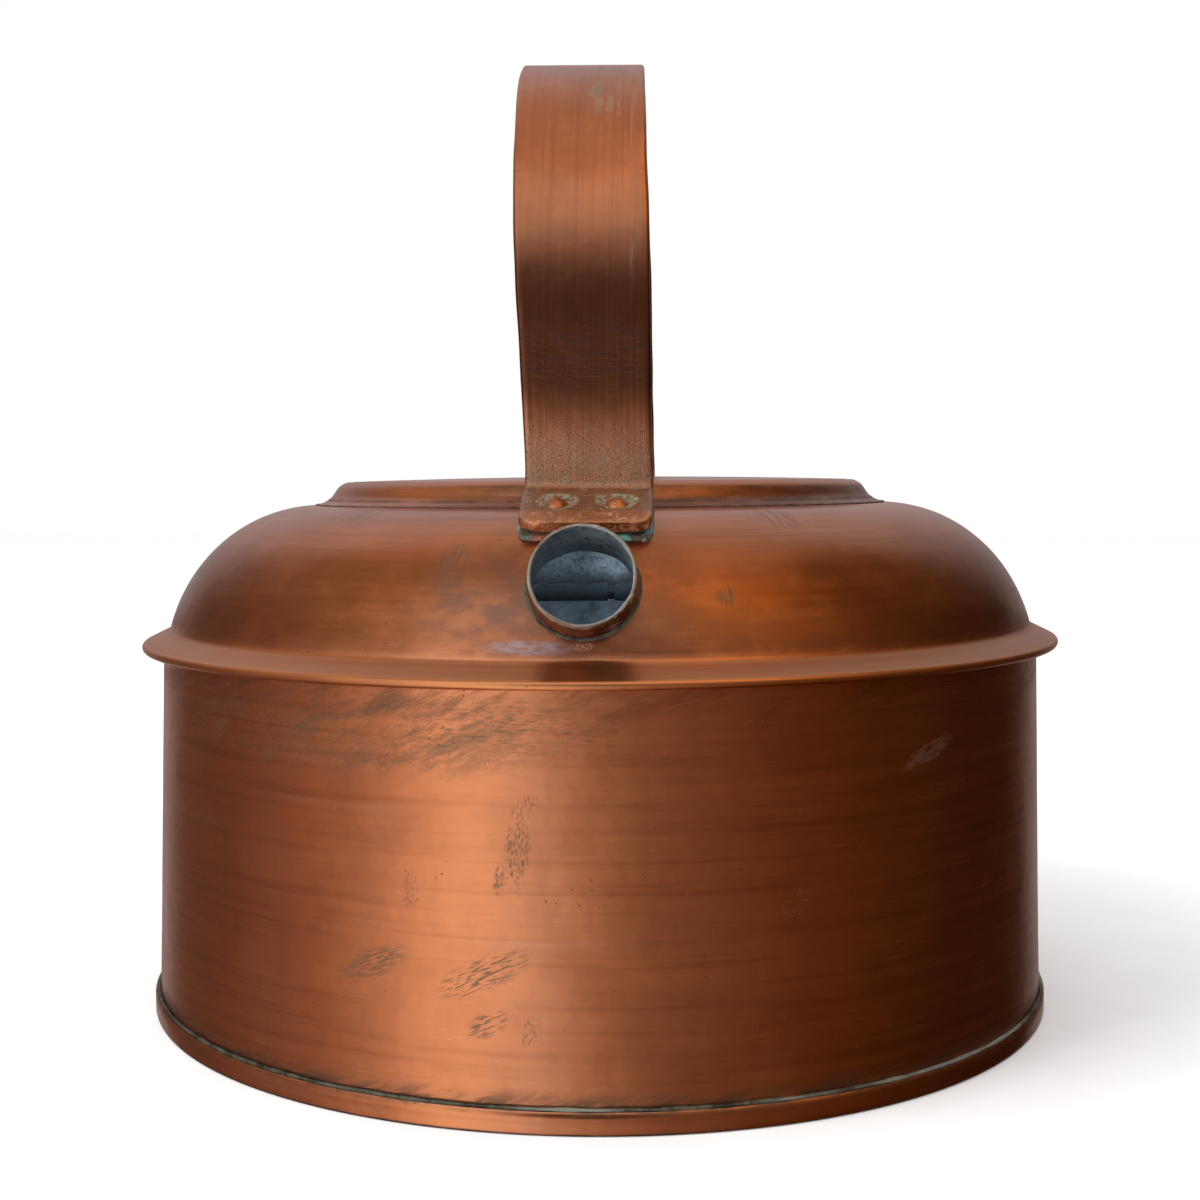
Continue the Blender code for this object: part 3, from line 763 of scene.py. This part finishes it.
def make_dome(copper_skin, tin, cutter):
    def shift(angle, radius, z):
        lift = body_wobble(angle, radius, z)
        if radius > 0.1240:
            return -abs(lift) * 0.6
        return lift

    dome = turned_sheet("shoulder_sheet", dome_outline(), SHEET * 0.95, [copper_skin, tin], 420, shift)
    cut = dome.modifiers.new("spout hole", "BOOLEAN")
    cut.object = cutter
    bpy.context.view_layer.update()
    graph = bpy.context.evaluated_depsgraph_get()
    mesh = bpy.data.meshes.new_from_object(dome.evaluated_get(graph))
    dome.modifiers.clear()
    mesh.set_sharp_from_angle(angle=radians(35))
    dome.data = mesh
    lean(dome)
    return show(dome, "shoulder_dome")


def make_neck(copper_skin, solder):
    seat, top, foot = NECK_FOOT - 0.20 * MM, NECK_TOP, NECK_RADIUS
    ledge, mouth, rim = LID_SEAT - 0.3 * MM, 67.2 * MM, 70.7 * MM
    outline = near(mouth, ledge, (0, -3.5), (0, -0.3), (0.3, 0)) + [(rim, ledge)]
    outline += near(rim, top, (0, -0.25), (0.08, -0.06), (0.25, 0))
    outline += near(0, top, (71.9, 0), (72.6, -0.22), (73.4, -0.60), (74.2, -1.12), (74.8, -1.75))
    outline += near(0, top, (75.4, -2.60), (75.9, -3.40), (76.5, -4.15), (77.1, -4.65))
    outline += near(0, top, (77.35, -4.78), (77.9, -5.20))
    outline += near(0, top, (78.8, -5.65), (79.8, -6.00))
    outline += near(foot, seat, (0, 0.12), (0, 0), (-2.6, 0), (-4.2, 0.8))
    outline += near(0, top, (74.6, -3.3), (73.6, -2.0)) + near(mouth, ledge, (0.7, -0.7), (0.7, -3.5))

    def shift(angle, radius, z):
        return -0.05 * MM * (1 + wobble(sin(angle), cos(angle), z * 30, 0.3, 5)) * (radius > 72 * MM)

    neck = turned_solid("neck_collar", outline, [copper_skin], 300, shift)
    show(lean(neck), "neck_ring")

    height = (seat / MM + 0.05, 0, 1, 0)
    seam = bead_ring("neck_solder_line", foot + 0.20 * MM, height, (0.38, 0.18, 0.09, 12),
                     (0.22, 0.12, 0.06, 14), solder, 420, 6)
    return show(lean(seam), "neck_solder_seam")


# ---------------- spout
SPOUT_PLACE = Matrix.Translation(SPOUT_MOUTH) @ Matrix.Rotation(pi / 2 - SPOUT_RISE, 4, "X")


def spout_point(angle, radius, depth):
    """A point round the tube's axis, this far in from the mouth; angle 0 is the tube's lower side."""
    return SPOUT_PLACE @ Vector((radius * sin(angle), -radius * cos(angle), -depth))


def depth_to_dome(angle, radius, height):
    """How far in from the mouth the tube's line meets the dome's surface raised by this height."""
    low, high = -0.01, 0.045
    for _ in range(40):
        middle = (low + high) / 2
        point = spout_point(angle, radius, middle)
        out = hypot(point.x, point.y)
        if dome_z(out, height) > point.z and out < CREST_R + DOME_WIDTH:
            high = middle
        else:
            low = middle
    return high


def tube_radius(depth):
    return SPOUT_RADIUS + (SPOUT_ROOT - SPOUT_RADIUS) * max(depth, 0) / SPOUT_LENGTH


def make_spout(outside, inside, solder):
    bm = bmesh.new()
    steps, count = 120, 18
    outer, inner = [[] for _ in range(count + 1)], [[] for _ in range(count + 1)]
    for i in range(steps):
        angle = 2 * pi * i / steps
        lip = uneven(angle, 0.175, 0.175, 0.55, 2)
        root = depth_to_dome(angle, SPOUT_ROOT, -3.2 * MM)
        dent = uneven(angle, 0, 0.16, 0.7, 7)
        wall = uneven(angle, 0.95, 0.18, 0.35, 4)
        for j in range(count + 1):
            t = (j / count) ** 1.6
            depth = lip + (root - lip) * t
            fade = 1 - t
            flare = 0.10 * MM * exp(-depth / (1.2 * MM))
            radius = tube_radius(depth) + dent * fade - 0.12 * MM * fade + flare
            trim = 0.22 * MM if j == 0 else 0.05 * MM if j == 1 else 0
            outer[j].append(bm.verts.new(spout_point(angle, radius - trim, depth)))
            inner[j].append(bm.verts.new(spout_point(angle, radius - wall + trim, depth)))
    skin(bm, outer, False, True)
    skin(bm, inner, False, True, slot=1)
    skin(bm, [outer[0], inner[0]], False, True, slot=0)
    skin(bm, [outer[-1], inner[-1]], False, True, slot=1)
    tube = finish_mesh("spout_sheet_tube", bm, [outside, inside])
    show(tube, "spout_tube")

    bm = bmesh.new()
    rows = []
    steps = 144
    for i in range(steps):
        angle = 2 * pi * i / steps
        meet = depth_to_dome(angle, SPOUT_ROOT - 0.3 * MM, 0)
        radius = tube_radius(meet)
        up, out = uneven(angle, 0.45, 0.2, 0.22, 3), uneven(angle, 0.60, 0.2, 0.22, 3)
        far = depth_to_dome(angle, radius + out, 0)
        middle = depth_to_dome(angle, radius + out * 0.45, 0)
        row = [spout_point(angle, radius - 0.1 * MM, meet - up)]
        row.append(spout_point(angle, radius + 0.15 * MM, meet - up))
        row.append(spout_point(angle, radius + out * 0.40, middle - 0.15 * MM))
        row.append(spout_point(angle, radius + out, far - 0.08 * MM))
        row.append(spout_point(angle, radius + out, far + 0.2 * MM))
        row.append(spout_point(angle, radius - 0.1 * MM, meet + 0.6 * MM))
        rows.append([bm.verts.new(point) for point in row])
    skin(bm, rows, True, True)
    fillet = finish_mesh("spout_solder_line", bm, [solder], 60)
    return show(fillet, "spout_solder_fillet")


def spout_cutter():
    """A plug that opens the dome where the tube goes in."""
    radius = SPOUT_ROOT - 0.4 * MM
    outline = [(0, 0.008), (radius, 0.008), (radius, -0.034), (0, -0.034)]
    plug = turned_solid("spout_plug", outline, [], 64, place=SPOUT_PLACE)
    plug.hide_render = True
    plug.display_type = "WIRE"
    return plug


# ---------------- handle
def strap_path():
    """(y, z) points along the middle of the strap, front foot to rear foot, close together."""
    bend_start = CREST_R + 5.5 * MM
    count = 28
    radii = [FOOT_END_R + (bend_start - FOOT_END_R) * i / count for i in range(count + 1)]
    foot = [above_dome(radius, STRAP_RISE) for radius in radii]
    slope = dome_slope(bend_start)
    centre_r = ARCH_RADIUS + FOOT_BEND
    touch_r, touch_z = foot[-1]
    tangent_r = centre_r + FOOT_BEND * sin(slope)
    centre_z = touch_z + (touch_r - tangent_r) * sin(slope) + FOOT_BEND * cos(slope)
    bend = arc(centre_r, centre_z, FOOT_BEND, radians(-90) + slope * 0.5, -pi, 10)
    leg = line((ARCH_RADIUS, centre_z), (ARCH_RADIUS, ARCH_CENTRE_Z), 26)[1:-1]
    front = [(-r, z) for r, z in foot[:-1] + bend + leg]
    top = arc(0, ARCH_CENTRE_Z, ARCH_RADIUS, pi, 0, 120)
    return [Vector(p) for p in front + top + [(-y, z) for y, z in reversed(front)]]


def strap_half_width(z):
    rise = min(max((z - 0.150) / 0.070, 0), 1)
    return (15.7 + 1.0 * rise * rise * (3 - 2 * rise)) * MM


def strap_lean(z):
    return -0.035 * max(z - 0.148, 0)


def corner_inset(distance):
    short = max(FOOT_CORNER - distance, 0)
    return FOOT_CORNER - sqrt(max(FOOT_CORNER * FOOT_CORNER - short * short, 0))


def rivet_dish(x, y):
    """Depth of the hammered ring round a rivet, and of its raised lip."""
    depth = 0.0
    for side in (-1, 1):
        away = hypot(x - side * RIVET_SPREAD, (abs(y) - RIVET_R) * 1.05) / (5.0 * MM)
        ragged = 1 + 0.25 * wobble(x, y, side, 0.004, 3)
        if away < 1.25:
            bowl = max(1 - away ** 6, 0) * 0.42 * MM
            lip = -0.14 * MM * exp(-((away - 1.05) / 0.10) ** 2)
            depth += (bowl + lip) * ragged
    return depth


def strap_dent(x, y, z):
    """Hollows left by use: a rubbed, dented band on each leg and soft waves over the arch."""
    leg = exp(-((z - 0.176) / 0.0055) ** 2)
    rows = wobble(x, 0, z, 0.0035, 9) * 0.5 + wobble(x * 0.35, 0, z, 0.0022, 11)
    low = max(0.0, min(1.0, (0.165 - z) / 0.015))
    pitted = 0.06 * MM * low * wobble(x, y, z, 0.0016, 5)
    return 0.10 * MM * leg * rows + pitted + 0.10 * MM * wobble(x, y, z, 0.022, 1)


def make_strap(copper_skin):
    path = strap_path()
    run = [0.0]
    for start, end in zip(path, path[1:]):
        run.append(run[-1] + (end - start).length)
    half_t = STRAP_THICKNESS / 2
    edge = 0.85 * MM
    across = 30
    bm = bmesh.new()
    rows = []
    for i, (y, z) in enumerate(path):
        along = (path[min(i + 1, len(path) - 1)] - path[max(i - 1, 0)]).normalized()
        out = Vector((0, -along.y, along.x))
        from_end = min(run[i], run[-1] - run[i])
        half = strap_half_width(z) - corner_inset(from_end)
        thin = half_t - (0.12 * MM * max(0, 1 - from_end / (0.5 * MM)))
        wave = [0.22 * MM * wobble(side, y, z, 0.012, 20 + side) - 0.1 * MM for side in (-1, 1)]
        left, right = strap_lean(z) - half - wave[0], strap_lean(z) + half + wave[1]
        flat_left, flat_right = left + edge, right - edge
        row = []
        for k in range(across + 1):
            x = flat_left + (flat_right - flat_left) * k / across
            depth = rivet_dish(x, y) if z < 0.1475 else 0.0
            lift = thin - depth - abs(strap_dent(x, y, z)) - 0.02 * MM
            row.append(Vector((x, y, z)) + out * lift)
        for k in range(1, 6):
            turn = pi / 2 - pi * k / 6
            row.append(Vector((flat_right + edge * cos(turn), y, z)) + out * thin * sin(turn))
        for k in range(across + 1):
            x = flat_right + (flat_left - flat_right) * k / across
            row.append(Vector((x, y, z)) - out * (thin - 0.1 * MM - 0.08 * MM * wobble(x, y, z, 0.02, 2)))
        for k in range(1, 6):
            turn = -pi / 2 - pi * k / 6
            row.append(Vector((flat_left + edge * cos(turn), y, z)) + out * thin * sin(turn))
        rows.append([bm.verts.new(point) for point in row])
    skin(bm, rows, False, True)
    bm.faces.new(rows[0])
    bm.faces.new(rows[-1])
    strap = finish_mesh("handle_strap_forged", bm, [copper_skin], 50)
    return show(strap, "handle_strap")


def make_pads(verdigris):
    for end, name in ((-1, "front"), (1, "rear")):
        bm = bmesh.new()
        top, under = [], []
        count_y, count_x = 48, 44
        start, finish = 0.0818, 0.1027
        for j in range(count_y + 1):
            t = j / count_y
            y = start + (finish - start) * t
            from_end = min(y - start, finish - y)
            ragged = 0.20 * MM * wobble(y, end, 0, 0.003, 5)
            half = 15.9 * MM - corner_inset(from_end) + ragged
            top_row, under_row = [], []
            for i in range(count_x + 1):
                x = -half + 2 * half * i / count_x
                edge = min(half - abs(x), from_end)
                swell = sqrt(min(1.0, max(edge, 0.0) / (0.7 * MM)))
                crust = 0.30 * MM * wobble(x, y, end, 0.0022, 8)
                tall = 0.25 * MM + 0.62 * MM * swell + crust * swell * (edge < 2 * MM)
                yy = y + 0.15 * MM * wobble(x, 0, end, 0.003, 6) * (t > 0.5) * t
                floor = dome_z(hypot(x, yy))
                slope = dome_slope(hypot(x, yy))
                top_row.append(bm.verts.new((x, end * (yy + tall * sin(slope)), floor + tall * cos(slope))))
                under_row.append(bm.verts.new((x, end * yy, floor + 0.02 * MM)))
            top.append(top_row)
            under.append(under_row)
        shell(bm, top, under, False, 0)
        pad = finish_mesh("pad_plate_" + name, bm, [verdigris])
        show(pad, "handle_pad_" + name)


def rivet_place(side, end):
    tilt = dome_slope(RIVET_R)
    place = Matrix.Translation((side * RIVET_SPREAD, end * RIVET_R, dome_z(RIVET_R)))
    return place @ Matrix.Rotation(-end * tilt, 4, "X")


def make_rivets(copper_skin):
    face = 4.1 * MM
    for end, end_name in ((-1, "front"), (1, "rear")):
        for side, side_name in ((-1, "left"), (1, "right")):
            seed = 3 * end + side
            tall = (1.65 + 0.12 * seed / 4) * MM
            outline = [(0, face + tall)]
            for i in range(1, 11):
                t = i / 10
                outline.append((2.75 * MM * t, face + tall * (1 - t * t) ** 0.8 * (1 - 0.25 * t)))
            outline += near(0, face, (2.0, -0.2)) + near(0, 0, (2.0, -3.4), (1.3, -4.0), (0, -4.1))

            def shift(angle, radius, z, seed=seed):
                return 0.16 * MM * wobble(sin(angle), cos(angle), z * 300, 0.8, seed) * (z > face)

            tag = end_name + "_" + side_name
            place = rivet_place(side, end)
            head = turned_solid("rivet_bump_" + tag, outline, [copper_skin], 40, shift, place, sharp=70)
            show(head, "rivet_" + tag)


# ---------------- lid
def make_lid(copper_skin, tin):
    seat, sheet = LID_SEAT + 0.02 * MM, 0.9 * MM
    rise = LID_CROWN - 0.02 * MM - seat - sheet

    def crown_z(radius):
        return seat + sheet + rise * (1 - (radius / LID_RADIUS) ** 2)

    radii = [2 * MM + (LID_RADIUS - 3 * MM) * i / 50 for i in range(51)]
    upper = [(radius, crown_z(radius)) for radius in radii]
    upper += arc(LID_RADIUS - 0.4 * MM, seat + sheet - 0.4 * MM, 0.4 * MM, radians(80), radians(-80), 6)
    lower = [(LID_RADIUS - 0.5 * MM, seat), (64 * MM, seat), (30 * MM, crown_z(30 * MM) - sheet)]
    lower.append((2 * MM, crown_z(0) - sheet))
    slots = [0] * len(upper) + [1] * len(lower)

    def shift(angle, radius, z):
        return -0.04 * MM * (1 + wobble(sin(angle), cos(angle), 0, 0.4, 3)) * (radius > 60 * MM)

    plate = turned_solid("lid_disc", upper + lower, [copper_skin, tin], 300, shift, slots=slots)
    show(lean(plate), "lid_plate", "lid")

    radius, bottom, _ = extent("lid_skirt")
    outline = [(radius, seat)] + near(radius, bottom, (0, 0.5), (-0.25, 0), (-0.7, 0), (-0.9, 0.4))
    outline.append((radius - 0.9 * MM, seat))
    skirt = turned_solid("lid_collar", outline, [tin], 240, lambda a, r, z: -0.04 * MM * (1 + sin(5 * a)))
    show(lean(skirt), "lid_skirt", "lid")


def make_knob(copper_skin):
    ball, foot, tip = extent("lid_knob")
    squat = 0.72 * ball
    ball_z = tip - squat
    bore = 1.8 * MM
    outline = near(bore, tip, (0, -0.2), (1.4, -0.05))
    outline += [(ball * cos(t), ball_z + squat * sin(t)) for t in [radians(66 - 6.6 * i) for i in range(20)]]
    stem = near(0, foot, (4.6, 8.2), (4.3, 5.2), (4.7, 3.4), (6.2, 1.9), (7.3, 1.2), (7.5, 0.5), (7.4, -0.25))
    outline += round_outline([outline[-1]] + stem, 0.7 * MM)[1:]
    outline.append((bore, foot - 0.2 * MM))
    knob = turned_solid("lid_knob_turned", outline, [copper_skin], 96)
    show(knob, "lid_knob", "lid")

    _, low, high = extent("knob_rivet")
    pin = near(0, high, (0, 0), (0.9, -0.08), (1.8, -0.4), (2.5, -1.0), (2.6, -1.5), (1.5, -1.55))
    pin += near(0, low, (1.5, 1.1), (2.7, 1.0), (1.8, 0.1), (0, 0))

    def shift(angle, radius, z):
        return 0.08 * MM * wobble(sin(angle), cos(angle), z * 200, 0.9, 4) * (radius > 2 * MM)

    rivet = turned_solid("knob_pin", pin, [copper_skin], 48, shift, sharp=60)
    show(rivet, "knob_rivet", "lid")


def dress(node, material):
    """A CAD node that keeps its own shape gets its material."""
    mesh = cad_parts[node].data
    mesh.materials.clear()
    mesh.materials.append(material)


# ---------------- studio
def make_world():
    """White to the camera; the copper mirrors a soft room, bright on the left and dim on the right."""
    world = bpy.data.worlds.new("studio")
    bpy.context.scene.world = world
    world.use_nodes = True
    world.node_tree.nodes.clear()
    n = Nodes(world.node_tree)
    direction = Field(n, n.new("TexCoord").outputs["Generated"])
    x, y, rise = n.split(direction)
    share = n.math("DIVIDE", n.math("ARCTAN2", x, y * -1.0), 2 * pi) + 0.5

    def round_room(levels):
        """Colour by the direction round the kettle; a ramp holds no more than 1, so it stores halves."""
        node = n.new("ValToRGB")
        elements = node.color_ramp.elements
        elements.remove(elements[-1])
        for index, (degrees, colour) in enumerate(levels):
            position = degrees / 360 + 0.5
            element = elements[0] if index == 0 else elements.new(position)
            element.position = position
            element.color = (*[level / 2 for level in colour], 1)
        n.feed(node.inputs[0], share)
        return Field(n, node.outputs[0])

    def toward(degrees, height):
        """Cosine of the angle from this direction."""
        level = cos(radians(height))
        aim = (sin(radians(degrees)) * level, -cos(radians(degrees)) * level, sin(radians(height)))
        node = n.new("VectorMath", operation="DOT_PRODUCT")
        n.feed(node.inputs[0], direction)
        n.feed(node.inputs[1], aim)
        return Field(n, node.outputs["Value"])

    room = n.mix(rise.span(0.10, 0.80), round_room(LOW_LEVELS), round_room(HIGH_LEVELS))
    room = n.mix(rise.span(0.80, 0.98), room, tuple(level / 2 for level in CEILING))
    glow = n.mix(toward(48, 66).span(0.90, 0.99), (0.0, 0.0, 0.0), (0.14, 0.07, 0.0))
    room = n.mix(1.0, room, glow, "ADD")
    room = n.mix(toward(-3, 17).span(0.92, 0.975), room, (0.045, 0.030, 0.024))
    bright = n.new("VectorMath", operation="SCALE")
    n.feed(bright.inputs[0], room)
    bright.inputs["Scale"].default_value = 2 * ROOM_GAIN
    path = n.new("LightPath")
    even = n.mix(Field(n, path.outputs["Is Glossy Ray"]), FILL, Field(n, bright.outputs[0]))
    seen = n.mix(Field(n, path.outputs["Is Camera Ray"]), even, (1.0, 1.0, 1.0))
    background = n.made("Background", (seen,))
    n.feed(n.new("OutputWorld").inputs["Surface"], background)


# What the copper mirrors, by degrees round from -Y towards +X: near the horizon, and about 50 degrees up.
LOW_LEVELS = (
    (-180, (0.38, 0.36, 0.38)),
    (-140, (0.24, 0.21, 0.21)),
    (-134, (0.11, 0.07, 0.05)),
    (-110, (0.12, 0.08, 0.07)),
    (-85, (0.20, 0.14, 0.13)),
    (-70, (0.28, 0.21, 0.20)),
    (-55, (0.48, 0.40, 0.38)),
    (-42, (0.78, 0.73, 0.74)),
    (-30, (1.10, 1.08, 1.06)),
    (-17, (0.80, 0.86, 1.00)),
    (-5, (0.55, 0.52, 0.54)),
    (7, (0.30, 0.24, 0.22)),
    (20, (0.20, 0.14, 0.11)),
    (43, (0.11, 0.06, 0.025)),
    (70, (0.06, 0.025, 0.004)),
    (105, (0.025, 0.008, 0.001)),
    (137, (0.03, 0.012, 0.004)),
    (142, (0.12, 0.11, 0.11)),
    (180, (0.38, 0.36, 0.38)),
)
HIGH_LEVELS = (
    (-180, (0.40, 0.42, 0.50)),
    (-142, (0.46, 0.46, 0.54)),
    (-118, (0.37, 0.28, 0.21)),
    (-84, (0.44, 0.38, 0.31)),
    (-69, (0.53, 0.49, 0.43)),
    (-45, (0.88, 1.00, 1.15)),
    (-5, (0.70, 0.80, 1.00)),
    (27, (0.47, 0.42, 0.37)),
    (38, (0.64, 0.49, 0.30)),
    (57, (0.50, 0.33, 0.17)),
    (72, (0.27, 0.17, 0.08)),
    (88, (0.17, 0.10, 0.04)),
    (122, (0.18, 0.11, 0.05)),
    (143, (0.30, 0.33, 0.40)),
    (180, (0.40, 0.42, 0.50)),
)
CEILING = (0.42, 0.36, 0.33)
ROOM_GAIN = 1.25
FILL = (1.10, 1.10, 1.10)


def make_floor():
    bm = bmesh.new()
    bmesh.ops.create_grid(bm, x_segments=2, y_segments=2, size=4)
    f = Finish("pale_floor")
    f.colour = f.mix(f.noise(40, 3).span(0.3, 0.7), (0.88, 0.88, 0.88), (0.90, 0.90, 0.90))
    f.rough = 0.9
    f.set("Specular IOR Level", 0.0)
    floor = finish_mesh("floor", bm, [f.close()])
    floor.visible_glossy = False


def make_light(name, place, aim, size, power, colour=(1, 1, 1), mirrored=False):
    light = bpy.data.lights.new(name, "AREA")
    light.shape = "RECTANGLE"
    light.size, light.size_y = size
    light.energy = power
    light.color = colour
    obj = placed(name, light)
    obj.location = place
    obj.rotation_euler = (Vector(aim) - Vector(place)).to_track_quat("-Z", "Y").to_euler()
    obj.visible_glossy = mirrored
    obj.visible_camera = False


def make_camera():
    camera = bpy.data.cameras.new("camera")
    camera.sensor_width = 36
    camera.lens = 53.0
    camera.clip_start = 0.01
    obj = placed("camera", camera)
    turn = radians(1.9)
    distance = 0.510
    obj.location = (distance * sin(turn), -distance * cos(turn), 0.1467)
    obj.rotation_euler = (radians(90 - 4.0), 0, turn)
    bpy.context.scene.camera = obj


def main():
    make_camera()
    tin = tin_finish()
    solder = solder_finish("old_solder", 0.8)
    lid = copper("aged_copper_lid", roughness=0.26, tarnish=0.40).close()

    make_pan(pan_finish(), tin)
    make_base_seam(solder)
    make_wall(wall_finish(), tin, braze_finish())
    cutter = spout_cutter()
    make_dome(dome_finish(), tin, cutter)
    bpy.data.objects.remove(cutter)
    make_neck(neck_finish(), solder_finish("browned_solder", 0.0, (0.13, 0.075, 0.050), (0.26, 0.14, 0.09)))
    make_spout(spout_finish(), tin, solder_finish("dark_solder", 0.1))
    make_strap(strap_finish())
    make_pads(verdigris_finish())
    make_rivets(rivet_finish())
    make_lid(lid, tin)
    make_knob(lid)
    for node in ("rove_front_left", "rove_front_right", "rove_rear_left", "rove_rear_right", "knob_rove"):
        dress(node, tin)

    make_world()
    make_floor()
    make_light("window", (-1.1, -0.7, 1.3), (0, 0, 0.1), (0.9, 0.9), 20)
    # Stands for the daylight that finds its way in by the spout, so that the tinning shows through it.
    make_light("inside", (0.02, -0.03, 0.085), (0.03, 0.12, 0.095), (0.10, 0.06), 0.17,
               (0.82, 0.92, 1.0), True)
    bpy.context.scene.view_settings.view_transform = "Standard"


main()
